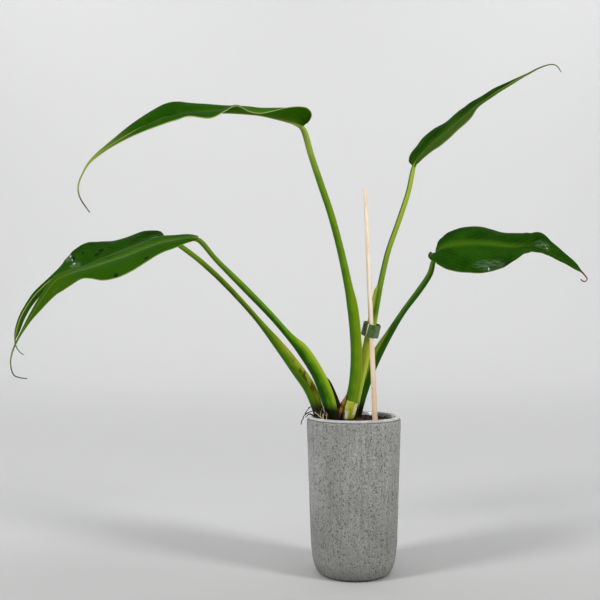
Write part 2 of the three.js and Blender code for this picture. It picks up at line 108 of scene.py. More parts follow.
class Shade:
    """One value among a material's nodes, which takes part in sums as a number does"""

    def __init__(self, tree, socket=None):
        self.tree = tree
        self.socket = socket

    def plug(self, socket, value):
        if isinstance(value, Shade):
            self.tree.links.new(value.socket, socket)
        else:
            socket.default_value = colour(value) if isinstance(value, str) else value

    def node(self, kind, sockets=None, out=0, **settings):
        """Adds a node: its settings are made first, then its sockets take their values or links"""
        made = self.tree.nodes.new("ShaderNode" + kind)
        for setting, value in settings.items():
            setattr(made, setting, value)
        for key, value in (sockets or {}).items():
            self.plug(made.inputs[key], value)
        return Shade(self.tree, made.outputs[out])

    def sum(self, operation, first, second=0.0):
        return self.node("Math", {0: first, 1: second}, operation=operation)

    def __add__(self, other):
        return self.sum("ADD", self, other)

    def __sub__(self, other):
        return self.sum("SUBTRACT", self, other)

    def __rsub__(self, other):
        return self.sum("SUBTRACT", other, self)

    def __mul__(self, other):
        return self.sum("MULTIPLY", self, other)

    def __abs__(self):
        return self.sum("ABSOLUTE", self)

    __radd__ = __add__
    __rmul__ = __mul__

    def axis(self, letter):
        """One of these coordinates: X, Y or Z"""
        return self.node("SeparateXYZ", {0: self}, out=letter)

    def rise(self, low, high):
        """0 below low, 1 above high and smooth between them"""
        limits = {"Value": self, "From Min": low, "From Max": high}
        return self.node("MapRange", limits, interpolation_type="SMOOTHSTEP")

    def mix(self, plain, marked):
        """The plain colour where this is 0, the marked colour where it is 1"""
        return self.node("Mix", {0: self, 6: plain, 7: marked}, out=2, data_type="RGBA")

    def noise(self, grain, detail=2.0, stretch=(1, 1, 1)):
        """Cloudy values from 0 to 1 over these coordinates, a cloud about grain mm across"""
        turned_to = self.node("Mapping", {"Vector": self, "Scale": stretch})
        sockets = {"Vector": turned_to, "Scale": 1 / (grain * MM), "Detail": detail}
        return self.node("TexNoise", sockets)

    def bump(self, height):
        """A normal for this relief, height being its real size in mm"""
        return self.node("Bump", {"Height": self, "Distance": height * MM, "Strength": 1.0})

    def paint(self, sockets):
        """Sets or links the shader's own sockets"""
        shader = self.tree.nodes["Principled BSDF"]
        for key, value in sockets.items():
            self.plug(shader.inputs[key], value)


def colour(code):
    """Six hexadecimal digits as the red, green, blue and alpha that a shader takes"""
    parts = [int(code[i:i + 2], 16) / 255 for i in (0, 2, 4)]
    linear = [p / 12.92 if p < 0.04045 else ((p + 0.055) / 1.055) ** 2.4 for p in parts]
    return (*linear, 1.0)


def finish(name):
    """A new material, the handle that adds nodes to it and the piece's coordinates"""
    material = bpy.data.materials.new(name)
    material.use_nodes = True
    nodes = Shade(material.node_tree)
    return material, nodes, nodes.node("TexCoord", out="Object")


def concrete():
    material, nodes, place = finish("concrete")
    height = place.axis("Z")
    cloud = place.noise(28, 3).rise(0.3, 0.7)
    grit = place.noise(1.05, 3)
    pits = place.noise(1.8, 2, (1, 1, 0.6)).rise(0.42, 0.3)
    runs = place.noise(3.2, 3, (1, 1, 0.06)).rise(0.42, 0.7)
    shade_near_foot = height.rise(0.02, 0.0)
    foot = height.rise(0.004, 0.0005)
    low = height.rise(0.12, 0.0)
    skin = (cloud * 0.5).mix(CONCRETE_GREY, CONCRETE_PALE)
    skin = (runs * 0.35).mix(skin, CONCRETE_DARK)
    skin = (grit.rise(0.55, 0.38) * 0.5).mix(skin, CONCRETE_DARK)
    skin = (grit.rise(0.54, 0.68) * 0.6).mix(skin, CONCRETE_PALE)
    skin = (pits * 0.6).mix(skin, CONCRETE_DARK)
    # the lower part darker: partly the concrete's own tone, partly painted shade from the light above
    skin = (low * 0.4).mix(skin, CONCRETE_LOW_SHADE_AND_TONE)
    # painted shade: the lowest 20 mm darkened towards the foot
    skin = (shade_near_foot * 0.6).mix(skin, CONCRETE_DARK)
    # painted contact shadow: the lowest few mm of the foot darkened almost to black
    skin = (foot * 0.8).mix(skin, CONCRETE_CONTACT_SHADOW)
    relief = grit * 0.6 - pits * 0.9
    nodes.paint({"Base Color": skin, "Roughness": 0.92, "Normal": relief.bump(0.9)})
    return material


wall = []
(wall_foot_r, wall_foot_z), (rim_r, rim_z) = POT_FOOT[-1], POT_RIM[0]
for ring in range(1, POT_WALL_RINGS):
    share = ring / POT_WALL_RINGS
    wall.append((wall_foot_r + (rim_r - wall_foot_r) * share, wall_foot_z + (rim_z - wall_foot_z) * share))
pot = turned("grey_pot", POT_FOOT + wall + POT_RIM + POT_INSIDE, POT_SIDES)
worked(pot, "SUBSURF", levels=2, render_levels=2)
for grain, height in POT_GRAIN:
    roughened(pot, grain, height)
smoothed(pot)
pot.data.materials.append(concrete())
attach(pot, "root")
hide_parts("outer_pot")

# The nursery pot: thin clear plastic, moulded with a rolled lip and five drain holes. It hangs by the lip
# on the grey rim, so that only the lip and the top of its inner wall show.
LIP_TOP = 154.8
NURSERY_SIDES = 120
NURSERY_OUTSIDE = [(33, 72.3), (42.2, 152.3), (45.2, 152.3), (45.7, 152.9), (45.7, 154.1), (45, LIP_TOP)]
NURSERY_INSIDE = [(42.6, LIP_TOP), (41.6, 154.2), (41.2, 153.2), (32.2, 73.3), (4, 73.3)]
DRAIN_RING = 24
DRAIN_R = 1.8
DRAIN_DEEP = 6
DRAIN_MIDDLE = 72.8
DRAIN_COUNT = 5
CLEAR = "efefee"
CLEAR_HAZY = "d6d8d6"
DUST = "9a8f80"


def clear_plastic():
    material, nodes, place = finish("clear_plastic")
    haze = place.noise(9, 2).rise(0.3, 0.7)
    dust = place.noise(1.4, 2).rise(0.64, 0.74)
    tint = (dust * 0.4).mix(haze.mix(CLEAR_HAZY, CLEAR), DUST)
    nodes.paint({
        "Base Color": tint,
        "Roughness": haze * 0.08 + 0.12,
        "Transmission Weight": 0.3,
        "IOR": 1.45,
        "Normal": place.noise(20, 1).bump(0.1),
    })
    return material


nursery_pot = turned("clear_nursery_pot", [(4, 72.3)] + NURSERY_OUTSIDE + NURSERY_INSIDE, NURSERY_SIDES)
drains = []
for index in range(DRAIN_COUNT):
    angle = math.tau * index / DRAIN_COUNT
    spot = (DRAIN_RING * MM * math.cos(angle), DRAIN_RING * MM * math.sin(angle), DRAIN_MIDDLE * MM)
    bpy.ops.mesh.primitive_cylinder_add(
        vertices=20, radius=DRAIN_R * MM, depth=DRAIN_DEEP * MM, location=spot)
    drains.append(bpy.context.object)
for drain in drains:
    worked(nursery_pot, "BOOLEAN", object=drain, operation="DIFFERENCE")
    bpy.data.objects.remove(drain)
smoothed(nursery_pot, 30)
nursery_pot.data.materials.append(clear_plastic())
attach(nursery_pot, "root")
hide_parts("nursery_pot")

# The soil: a dark, coarse mix packed into the nursery pot, with crumbs of peat and chips of red-brown bark
# on its top.
SOIL_TOP = 149.6
SOIL_SIDE = [(32, 73.6), (40.6, 148.6), (40.3, SOIL_TOP), (37, SOIL_TOP), (33, 150), (29, 150.2)]
SOIL_MIDDLE = [(25, 150.4), (21, 150.5), (17, 150.5), (13, 150.6), (9, 150.6), (5, 150.6)]
SOIL_FACE = 149.5
SEED = 5
CRUMBS = [(1.1, 260), (0.7, 700)]
CHIP_COUNT = 230
CHIP_REACH = 39
CHIP_TURN = 2.39996
CHIP_LONG = (2, 7)
CHIP_WIDE = (2, 4.5)
CHIP_THICK = (0.8, 2.2)
CHIP_TILT = 0.35
CHIP_LIES_AT = 150.6
CHIP_WEAR = 0.16
CRUMB_DARK = "1d1510"
CRUMB_BROWN = "3d2a1c"
BARK_RED = "5f3620"


def soil_mix():
    material, nodes, place = finish("bark_mix")
    crumb = place.noise(2.2, 3)
    lump = nodes.node("TexVoronoi", {"Vector": place, "Scale": 190.0}, out="Color")
    tone = nodes.node("SeparateColor", {0: lump})
    earth = crumb.rise(0.35, 0.7).mix(CRUMB_DARK, CRUMB_BROWN)
    earth = (tone.rise(0.55, 0.8) * 0.75).mix(earth, BARK_RED)
    fibre = place.noise(0.7, 2, (1, 1, 3))
    nodes.paint({"Base Color": earth, "Roughness": 0.95, "Normal": fibre.bump(0.3)})
    return material


def bark_chip():
    """One chip, a split flake of bark with worn corners, modelled once"""
    bpy.ops.mesh.primitive_cube_add(size=1)
    chip = bpy.context.object
    worked(chip, "BEVEL", width=CHIP_WEAR, segments=1, limit_method="NONE")
    for vertex in chip.data.vertices:
        vertex.co += CHIP_WEAR * noise.noise_vector(vertex.co * 2.3)
    return chip


def joined(pieces, name):
    """Makes one piece of several, under that name"""
    bpy.ops.object.select_all(action="DESELECT")
    for piece in pieces:
        piece.select_set(True)
    bpy.context.view_layer.objects.active = pieces[0]
    bpy.ops.object.join()
    pieces[0].name = name
    return pieces[0]


soil = turned("soil_body", SOIL_SIDE + SOIL_MIDDLE, 72)
worked(soil, "SUBSURF", subdivision_type="SIMPLE", levels=1, render_levels=1)
for vertex in soil.data.vertices:
    if vertex.co.z > SOIL_FACE * MM:
        vertex.co.z += MM * sum(height * noise.noise(vertex.co * often) for height, often in CRUMBS)
draw = random.Random(SEED)
noise.seed_set(SEED)
first_chip = bark_chip()
chips = [soil]
for index in range(CHIP_COUNT):
    chip = first_chip.copy()
    chip.data = first_chip.data.copy()
    bpy.context.collection.objects.link(chip)
    angle = index * CHIP_TURN
    radius = CHIP_REACH * math.sqrt((index + 0.5) / CHIP_COUNT)
    size = Vector((draw.uniform(*CHIP_LONG), draw.uniform(*CHIP_WIDE), draw.uniform(*CHIP_THICK))) * MM
    turn = Matrix.Rotation(draw.uniform(0, math.tau), 4, "Z")
    turn = turn @ Matrix.Rotation(draw.gauss(0, CHIP_TILT), 4, "X")
    lie = Vector((radius * math.cos(angle), radius * math.sin(angle), CHIP_LIES_AT)) * MM
    chip.data.transform(Matrix.Translation(lie) @ turn @ Matrix.Diagonal((*size, 1)))
    chips.append(chip)
bpy.data.objects.remove(first_chip)
soil = joined(chips, "soil_and_bark")
smoothed(soil, 50)
soil.data.materials.append(soil_mix())
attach(soil, "root")
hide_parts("soil")

# The stem: the short thick yellow-green foot of the plant, with a swollen node from which the middle leaf
# stalk grows. Below the node its skin has corky cream patches.
STEM_ROWS = [
    (-10, -5, 118, 6.2, 0),
    (-9, -5.3, 138, 6, 0),
    (-7.3, -5.5, 150, 5.9, 0),
    (-6.1, -6, 156.2, 6.9, 0),
    (-5.1, -6.4, 162.3, 7.6, 0),
    (-3.3, -6.8, 167.5, 7, 0),
    (-2.5, -7, 170.3, 6.6, 0),
]
STEM_INNER = (1, 0, 0)
NODE_RING = 0.1693
NODE_RING_HALF = 0.0007
CORK_CREAM = "f6ebbc"
EDGE_CREAM = "f3e2ae"
LIP_ANGLE = math.radians(32)
LIP_SPREAD = math.radians(20)


def along(rows, u):
    """Smooth values between rows, at u from 0 at the first row to 1 at the last"""
    last = len(rows) - 1
    i = min(int(u * last), last - 1)
    f = u * last - i
    values = []
    for k, (p1, p2) in enumerate(zip(rows[i], rows[i + 1])):
        p0 = rows[i - 1][k] if i > 0 else 2 * p1 - p2
        p3 = rows[i + 2][k] if i + 2 <= last else 2 * p2 - p1
        bend = f * (2 * p0 - 5 * p1 + 4 * p2 - p3 + f * (3 * p1 - p0 - 3 * p2 + p3))
        values.append(p1 + 0.5 * f * (p2 - p0 + bend))
    return values


def heading(rows, u):
    """The way the rows run at u"""
    step = 1e-3
    ahead = Vector(along(rows, min(u + step, 1))[:3])
    return (ahead - Vector(along(rows, max(u - step, 0))[:3])).normalized()


def grid(name, length, width):
    """A flat sheet of so many faces, with its map laid out along and across"""
    bpy.ops.mesh.primitive_grid_add(x_subdivisions=length, y_subdivisions=width, size=2)
    sheet = bpy.context.object
    sheet.name = name
    return sheet


def stalk(name, rows, inner, sides=40, steps=8):
    """A sheet rolled into a stalk, with its sheath's two lips either side of the line that faces inwards

    Each of its rows is a place on its middle line, its radius there and how far the lips stand out, in mm.
    """
    count = (len(rows) - 1) * steps
    piece = grid(name, count, sides)
    rings = {}
    for step in range(count + 1):
        u = step / count
        course = heading(rows, u)
        out = Vector(inner)
        out = (out - course * out.dot(course)).normalized()
        rings[step] = (along(rows, u), out, course.cross(out))
    for vertex in piece.data.vertices:
        (x, y, z, radius, wing), out, side = rings[round((vertex.co.x + 1) / 2 * count)]
        angle = (vertex.co.y + 1) * math.pi
        from_inner = min(angle, math.tau - angle)
        lip = math.exp(-(((from_inner - LIP_ANGLE) / LIP_SPREAD) ** 2))
        reach = (radius + max(wing, 0) * lip) * MM
        vertex.co = Vector((x, y, z)) * MM + (out * math.cos(angle) + side * math.sin(angle)) * reach
    bpy.ops.object.mode_set(mode="EDIT")
    bpy.ops.mesh.select_all(action="SELECT")
    bpy.ops.mesh.remove_doubles(threshold=1e-6)
    bpy.ops.mesh.fill_holes(sides=0)
    bpy.ops.mesh.normals_make_consistent(inside=False)
    bpy.ops.object.mode_set(mode="OBJECT")
    smoothed(piece, 60)
    return piece


def stem_skin():
    material, nodes, place = finish("stem_skin")
    height = place.axis("Z")
    laid = nodes.node("TexCoord", out="UV")
    right = abs(laid.axis("Y") - 0.5) * 2
    patch = place.noise(4, 3)
    green = place.noise(7, 2, (1, 1, 0.4)).rise(0.35, 0.7).mix("b2bc24", "829c16")
    cork = patch.rise(0.3, 0.42) * height.rise(0.1625, 0.159) * right.rise(0.55, 0.4)
    edge = patch.rise(0.2, 0.4) * right.rise(0.62, 0.72)
    edge = edge * height.rise(0.1545, 0.158) * height.rise(0.169, 0.166)
    skin = cork.mix(green, CORK_CREAM)
    skin = edge.mix(skin, EDGE_CREAM)
    skin = (place.noise(1.6, 2).rise(0.64, 0.72) * 0.7).mix(skin, "7d5a1e")
    skin = height.rise(0.1542, 0.1515).mix(skin, "35200f")
    ring = (1 - abs(height - NODE_RING) * (1 / NODE_RING_HALF)).rise(0, 1)
    skin = (ring * 0.55).mix(skin, "d3cf78")
    nodes.paint({"Base Color": skin, "Roughness": 0.5, "Normal": place.noise(1.5, 3).bump(0.25)})
    return material


stem = stalk("stem_and_node", STEM_ROWS, STEM_INNER)
stem.data.materials.append(stem_skin())
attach(stem, "root")
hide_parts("stem")

# The five leaf stalks: fleshy green stalks, round at the top. Lower down each has a groove between the two
# lips of its sheath, which is paler, and which once held the next leaf.
SCAR_BROWN = "43260e"
SOIL_STAIN_AND_SHADE = "17120a"
STALK_A = [
    (-2.5, -7, 170, 6.6, 0.5),
    (0, -7.5, 184, 5.8, 1),
    (1.5, -8, 200, 5.5, 1.4),
    (1.7, -8.5, 220, 5.2, 1.6),
    (-0.1, -9, 245, 4.9, 2),
    (-2.9, -9.5, 266, 4.5, 2.2),
    (-6.2, -10, 286, 4.1, 0.3),
    (-13.9, -11, 321, 3.6, 0),
    (-23.1, -12, 355, 3.4, 0),
    (-33.2, -12, 385, 3.3, 0),
    (-42.5, -12, 413, 3.1, 0),
    (-48, -12, 433, 3.1, 0),
    (-51.8, -12.3, 440.4, 2.6, 0),
    (-57, -13, 443, 1.5, 0),
    (-64, -13.6, 445.6, 0.7, 0),
]
STALK_B = [
    (-20, -8, 130, 5, 0.3),
    (-21.5, -9, 146, 5.4, 0.5),
    (-22.4, -10, 157, 6, 1),
    (-28, -12, 176, 6.1, 2.5),
    (-37.6, -15, 198, 5.2, 3.2),
    (-51.3, -18, 219, 4.7, 3.4),
    (-63.6, -21, 233.5, 3.3, 1.2),
    (-81.8, -24, 254.7, 3.2, 0),
    (-107.2, -29, 281, 3.2, 0),
    (-133.4, -33, 307.3, 2.5, 0),
    (-145.8, -35.2, 322.3, 2.5, 0),
    (-151.5, -36.1, 326.9, 2.3, 0),
    (-158, -37, 327.2, 1.5, 0),
    (-167, -38, 326, 0.7, 0),
]
STALK_C = [
    (-29, -1, 130, 5, 0.3),
    (-32.5, 1, 145, 5.4, 0.5),
    (-36, 2, 161, 5.4, 1),
    (-44.5, 4, 181, 5.3, 3),
    (-56.4, 6, 198, 5.1, 3.6),
    (-73.2, 9, 221, 4.4, 2.4),
    (-98.1, 12, 252.3, 2.8, 0),
    (-127.5, 14, 284.3, 2.8, 0),
    (-152, 15, 307.3, 2.75, 0),
    (-175.5, 15, 325.5, 2.6, 0),
    (-191, 14, 334, 2.1, 0),
    (-199, 13.5, 333.8, 1.4, 0),
    (-207, 13, 331, 0.7, 0),
]
STALK_D = [
    (-4, 8, 128, 4.8, 0.3),
    (-3, 7, 141, 5.2, 0.5),
    (-1, 6.5, 155, 5.2, 1),
    (4, 6, 178, 4.8, 1.5),
    (10.3, 5, 204, 4.4, 2),
    (15.6, 4, 225, 3.8, 3),
    (19.7, 3.7, 245, 3.4, 3.5),
    (23.5, 4, 265, 3.1, 3.2),
    (26.2, 4.5, 279, 2.9, 2.8),
    (27.7, 4.7, 287, 2.9, 0.2),
    (35, 6, 318, 2.75, 0),
    (45.7, 8, 348, 2.7, 0),
    (56, 11, 378, 2.6, 0),
    (61, 13.4, 400, 2.4, 0),
    (63.3, 14, 408, 1.9, 0),
    (66.8, 13.6, 414.2, 1.2, 0),
    (72.6, 12.8, 421.4, 0.7, 0),
]
STALK_E = [
    (0, 18, 128, 4.4, 0.3),
    (2, 17, 142, 4.6, 0.5),
    (4.5, 17, 153, 4.6, 1),
    (10, 16.5, 173, 4.4, 2.5),
    (18.4, 16, 197, 4.2, 3.5),
    (28, 15, 218, 3.9, 3.4),
    (37.5, 13.5, 236, 3.5, 1),
    (50.8, 11, 258, 2.9, 0),
    (67, 8, 280, 3.1, 0),
    (77.1, 5, 296, 2.9, 0),
    (80.4, 4, 308, 2.5, 0),
    (83.2, 3, 314.4, 1.9, 0),
    (87.5, 2, 319.4, 1.2, 0),
    (94, 1, 322.4, 0.7, 0),
]
# Each stalk's body is a dark and a light green laid round it: partly its own paler sheath side, partly
# painted light on one side and painted shade on the other
STALKS = {
    "a": {
        "rows": STALK_A, "inner": (1, 0, 0.3), "turned": 0.12, "lip": (0.76, 0.9), "dirt_and_shade": 0.0,
        "sheath": 0.46, "bend": (0.6, 0.9), "body": ("3a6806", "6f8e10"), "flank": "b9c45a",
        "top": "bccb5c",
    },
    "b": {
        "rows": STALK_B, "inner": (1, 0, 0.6), "sheath": 0.46, "bend": (0.5, 0.9),
        "body": ("1c4a02", "6a9c08"), "flank": "a3b82c", "top": "6c8c28",
    },
    "c": {
        "rows": STALK_C, "inner": (1, 0, 0.6), "sheath": 0.46, "bend": (0.5, 0.9),
        "body": ("3c6806", "7c9218"), "flank": "a2a636", "scars": 0.8, "top": "6c8c28",
    },
    "d": {
        "rows": STALK_D, "inner": (-1, 0, 0.3), "sheath": 0.57, "bend": (0.5, 0.76),
        "low": (0.42, 0.35), "top_at": (0.85, 0.6), "body": ("648a1c", "2c5406"), "flank": "c0cc48",
        "top": "a8be42",
    },
    "e": {
        "rows": STALK_E, "inner": (-1, 0, 0.6), "sheath": 0.5, "bend": (0.55, 0.9),
        "body": ("234f04", "3f6c0c"), "flank": "9fb43c", "top": "5c8220",
    },
}


def stalk_skin(name, parts):
    """Fleshy skin of two greens, partly painted light and shade, with fine lines along it, tinted on its
    lips and top, and soil-stained and painted darker with shade at its foot
    """
    material, nodes, place = finish(name)
    laid = nodes.node("TexCoord", out="UV")
    height = place.axis("Z")
    u = laid.axis("X")
    v = laid.axis("Y")
    inward = abs(v - 0.5) * 2
    drawn_out = nodes.node("Mapping", {"Vector": laid, "Scale": (3, 34, 1)})
    lines = nodes.node("TexNoise", {"Vector": drawn_out, "Scale": 1.0, "Detail": 2.0})
    dark, light = parts["body"]
    waver = (place.noise(12, 2) - 0.5) * 0.4 + (lines - 0.5) * 0.4
    # the two greens round the stalk: partly its own paler sheath side, partly painted light on one side and
    # painted shade on the other
    side = (inward + parts.get("turned", 0.0) + waver).rise(0.3, 0.85)
    skin = side.mix(dark, light)
    below_bend = u.rise(parts["sheath"], parts["sheath"] - 0.05)
    sheath = below_bend * inward.rise(*parts.get("lip", (0.64, 0.8)))
    skin = (sheath * 0.85).mix(skin, parts["flank"])
    if "low" in parts:
        skin = (u.rise(*parts["low"]) * 0.8).mix(skin, parts["flank"])
    # the top near the blade tinted paler: partly its own colour, partly painted light; on D only on its
    # outer side
    top_tint_and_light = u.rise(*parts["bend"]) * inward.rise(*parts.get("top_at", (2, 1)))
    skin = (top_tint_and_light * 0.8).mix(skin, parts["top"])
    scar = place.noise(5, 3, (1, 1, 0.35)).rise(0.42, 0.55) * u.rise(0.2, 0.25) * u.rise(0.4, 0.33)
    scar = scar * inward.rise(0.56, 0.64) * inward.rise(0.86, 0.76)
    skin = (scar * parts.get("scars", 0.0)).mix(skin, SCAR_BROWN)
    # soil stain and painted shade at the foot
    skin = (height.rise(0.171, 0.16) * parts.get("dirt_and_shade", 0.97)).mix(skin, SOIL_STAIN_AND_SHADE)
    nodes.paint({
        "Base Color": skin,
        "Roughness": lines * 0.2 + 0.3,
        "Specular IOR Level": 0.08,
        "Normal": lines.bump(0.12),
    })
    return material


for letter, parts in STALKS.items():
    petiole = stalk("leaf_stalk_" + letter, parts["rows"], parts["inner"])
    petiole.data.materials.append(stalk_skin("stalk_skin_" + letter, parts))
    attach(petiole, "root")
    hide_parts("petiole_" + letter)

# The five leaf blades: long, narrow and leathery, dark and glossy above and paler below, each folded along
# a pale midrib. Their side veins run forward at a low angle, and each ends in a long thread-like tip.

# The camera stands as it did for the photo, so points read in zoomed crops of it can be laid out in mm.
CAMERA_AT = Vector((-53.5, -840, 252))
CAMERA_RISE = math.atan(18 / 840)
CAMERA_LENS = 50.4
CAMERA_FILM = 36
PHOTO_WIDE = 600
CROP_WIDE = 1568
BLADE_A = [
    ((1414, 243), -12, 9, (1438, 222), 8, 80),
    ((1398, 236), -12.5, 16, (1463, 172), 14, 84),
    ((1362, 221), -13, 21.5, (1432, 130), 19, (1400, 133)),
    ((1310, 203), -14, 24, (1335, 127), 22, (1330, 132)),
    ((1180, 172), -17, 27, (1186, 161), 27.5, (1184, 137)),
    ((1100, 162), -18.5, 28, (1104, 154), 28.5, (1102, 129)),
    ((1024, 157), -20, 29, (1027, 121), 29, (1026, 124)),
    ((960, 155), -21, 29, (962, 148), 29, (961, 122)),
    ((872, 158), -22.5, 29, (872, 193), 29, (872, 114)),
    ((750, 168), -24.5, 27.5, (752, 183), 27.5, (748, 102)),
    ((680, 177), -25.5, 26, (686, 200), 26, (676, 95)),
    ((605, 191), -26.5, 24, (615, 221), 24, (588, 118)),
    ((450, 257), -29, 17.5, (462, 279), 17, (421, 222)),
    ((292, 352), -31, 8.5, (298, 361), 8.5, (278, 337)),
    ((182, 438), -32, 3.8, -30, 3.8, 40),
    ((130, 515), -32, 3, -20, 3, 30),
    ((106, 585), -32, 2.6, -20, 2.6, 30),
    ((116, 655), -32, 2, -20, 2, 30),
    ((172, 742), -31, 0.8, -20, 0.8, 30),
]
BLADE_B = [
    ((1447, 164), -36, 5, (1440, 180), 5, (1440, 152)),
    ((1380, 168), -37, 13, (1372, 200), 13, (1376, 143)),
    ((1290, 180), -38.5, 19, (1282, 236), 19, (1288, 149)),
    ((1180, 204), -41, 24, (1175, 278), 24, (1176, 158)),
    ((1060, 244), -43, 28, (1072, 340), 28, (1050, 200)),
    ((930, 294), -45.5, 30, (956, 412), 30, (912, 260)),
    ((820, 330), -47.5, 30, (852, 458), 30, (800, 308)),
    ((720, 364), -49, 28, (750, 476), 28, (700, 350)),
    ((640, 390), -50, 24, (664, 464), 24, (622, 384)),
    ((560, 414), -51, 20.5, (590, 468), 20.5, (548, 402)),
    ((470, 442), -51.5, 18.5, (510, 518), 18, (458, 424)),
    ((400, 482), -52, 16.5, (452, 556), 16, (380, 470)),
    ((340, 560), -52, 13.5, (385, 604), 12, (322, 556)),
    ((270, 668), -51.5, 9.5, (308, 682), 8, (246, 668)),
    ((190, 800), -50.5, 4.5, (212, 790), 4, (176, 796)),
    ((118, 925), -50, 2.8, -25, 2.8, 25),
    ((84, 1010), -49.5, 2.3, -20, 2.3, 20),
    ((74, 1085), -49, 2, -20, 2, 20),
    ((95, 1163), -48.5, 1.7, -20, 1.7, 20),
    ((140, 1187), -48, 1.3, -20, 1.3, 20),
    ((198, 1195), -48, 0.8, -20, 0.8, 20),
]
BLADE_C = [
    ((1195, 152), 14, 5, -10, 5, (1190, 136)),
    ((1140, 152), 13.5, 13, -10, 13, (1140, 113)),
    ((1060, 186), 13, 20, -12, 20, (1046, 117)),
    ((950, 238), 12, 25, -15, 25, (925, 162)),
    ((850, 286), 11.5, 28, -15, 28, (818, 190)),
    ((760, 326), 11, 29, -15, 29, (726, 195)),
    ((680, 362), 10, 29, -17, 29, (640, 200)),
    ((620, 388), 9, 27, -20, 27.5, (575, 229)),
    ((560, 405), 8, 24, -25, 25, (520, 272)),
    ((500, 412), 7, 21, -30, 21.5, (468, 330)),
    ((440, 427), 6, 18, -35, 17, (412, 404)),
    ((375, 468), 4, 14, -40, 12.5, (352, 462)),
    ((310, 528), 3, 11.5, (338, 556), 10, (290, 520)),
    ((250, 592), 1.5, 9, (278, 606), 7.5, (230, 583)),
    ((195, 668), 0, 6.5, (222, 680), 6, (178, 664)),
    ((150, 750), -1.5, 5, (176, 765), 4, (130, 758)),
    ((118, 850), -3, 3.5, (142, 855), 3, (106, 848)),
    ((107, 925), -5, 2.2, -20, 2.2, 20),
    ((118, 965), -6, 1.8, -20, 1.8, 20),
    ((142, 1000), -7, 1.3, -20, 1.3, 20),
    ((172, 1020), -8, 0.8, -20, 0.8, 20),
]
BLADE_D = [
    ((142, 888), 14, 4, (152, 895), 5, (122, 872)),
    ((150, 860), 14, 7.5, (180, 862), 10, (106, 832)),
    ((172, 828), 13.5, 12, (214, 828), 14, (124, 784)),
    ((225, 768), 12.5, 16, (272, 782), 18.5, (166, 732)),
    ((283, 706), 11.5, 20, (338, 738), 22, (222, 662)),
    ((350, 652), 10, 23, (404, 686), 24, (296, 602)),
    ((430, 586), 8.5, 23.5, (474, 618), 23.5, (388, 552)),
    ((500, 528), 7, 21.5, (545, 555), 21.5, (468, 480)),
    ((560, 476), 5.5, 18, (592, 505), 18.5, (536, 430)),
    ((620, 428), 4, 15, (632, 442), 15, (596, 388)),
    ((700, 374), 3, 12, (703, 388), 12, (684, 338)),
    ((780, 320), 2, 9, (782, 333), 9, (764, 288)),
    ((870, 267), 1, 6, (872, 276), 6.5, (862, 244)),
    ((950, 219), 0, 3.6, (952, 226), 3.6, (945, 207)),
    ((1030, 176), -0.5, 2.5, -10, 2.5, 30),
    ((1110, 133), -1.5, 2, -10, 2, 25),
    ((1190, 108.5), -2.5, 1.7, -10, 1.7, 20),
    ((1240, 122), -3.3, 1.3, -10, 1.3, 20),
    ((1273, 168), -4, 0.8, -10, 0.8, 20),
]
BLADE_E = [
    ((205, 374), 2, 7, (174, 344), 5, (216, 350)),
    ((218, 358), 1.8, 11, (150, 372), 8, (222, 322)),
    ((232, 342), 1.5, 16, (174, 412), 12, (234, 280)),
    ((262, 318), 1, 24, (220, 440), 18.5, (266, 224)),
    ((320, 295), 0, 28.5, (300, 487), 25, (340, 174)),
    ((400, 281), -1, 32, (390, 511), 30, (425, 144)),
    ((490, 274), -2.5, 34, (490, 519), 32, (510, 135)),
    ((580, 273), -4, 34.5, (585, 521), 32, (595, 140)),
    ((670, 280), -5.5, 33, (680, 505), 31, (680, 160)),
    ((760, 292), -7, 30, (778, 471), 29, (762, 185)),
    ((850, 304), -8.5, 26, (862, 415), 26, (850, 190)),
    ((940, 308), -10, 22.5, (944, 358), 23.5, (938, 190)),
    ((1000, 306), -11, 20.5, (1000, 342), 22, (1000, 189)),
    ((1080, 318), -12, 17.5, (1070, 350), 19, (1083, 188)),
    ((1140, 342), -13, 15, (1128, 370), 15, (1165, 258)),
    ((1210, 383), -14, 11.5, (1196, 400), 12, (1238, 318)),
    ((1290, 428), -15, 8, (1276, 440), 9, (1312, 383)),
    ((1370, 480), -16, 4.6, (1362, 488), 5, (1385, 453)),
    ((1420, 512), -16.5, 3.2, -20, 3.2, 25),
    ((1453, 548), -17, 2.4, -20, 2.4, 20),
    ((1465, 572), -17, 1.7, -20, 1.7, 20),
    ((1440, 592), -17, 1, -20, 1, 20),
    ((1405, 574), -17, 0.7, -20, 0.7, 20),
]
BLADES = {
    "a": {"points": BLADE_A, "crop": (60, 85, 270), "turn": -1, "arch": 0.1},
    "b": {"points": BLADE_B, "crop": (0, 215, 215), "turn": -1, "arch": 0.13},
    "c": {"points": BLADE_C, "crop": (0, 215, 215), "turn": -1, "arch": 0.13},
    "d": {"points": BLADE_D, "crop": (395, 50, 205), "turn": 1, "arch": 0.1},
    "e": {"points": BLADE_E, "crop": (410, 210, 190), "turn": 1, "arch": 0.12},
}
VEIN_GAP = 8.5
VEIN_LEAN = 1.25
VEIN_CURVE = 0.022
VEIN_RELIEF = 0.06
LEAF_SWELL = 0.7
RIB_GROOVE = 0.2
GROOVE_HALF = 1.1
LEAF_THICK = 0.5
KEEL_DEEP = 1.6
KEEL_HALF = 1.6


def sight(leaf, point):
    """The way from the camera through a point of a leaf's crop, given by its left, top and width"""
    left, top, wide = leaf["crop"]
    focal = PHOTO_WIDE * CAMERA_LENS / CAMERA_FILM
    right = (left + point[0] * wide / CROP_WIDE - PHOTO_WIDE / 2) / focal
    rise = (PHOTO_WIDE / 2 - top - point[1] * wide / CROP_WIDE) / focal
    cos, sin = math.cos(CAMERA_RISE), math.sin(CAMERA_RISE)
    return right, cos - rise * sin, sin + rise * cos


def ways(rows, u, turn):
    """At u, the way along the midrib, the level way across it and the way out of the upper side"""
    course = heading(rows, u)
    across = (Vector((0, 1, 0)) - course * course.y).normalized()
    return course, across, course.cross(across) * turn


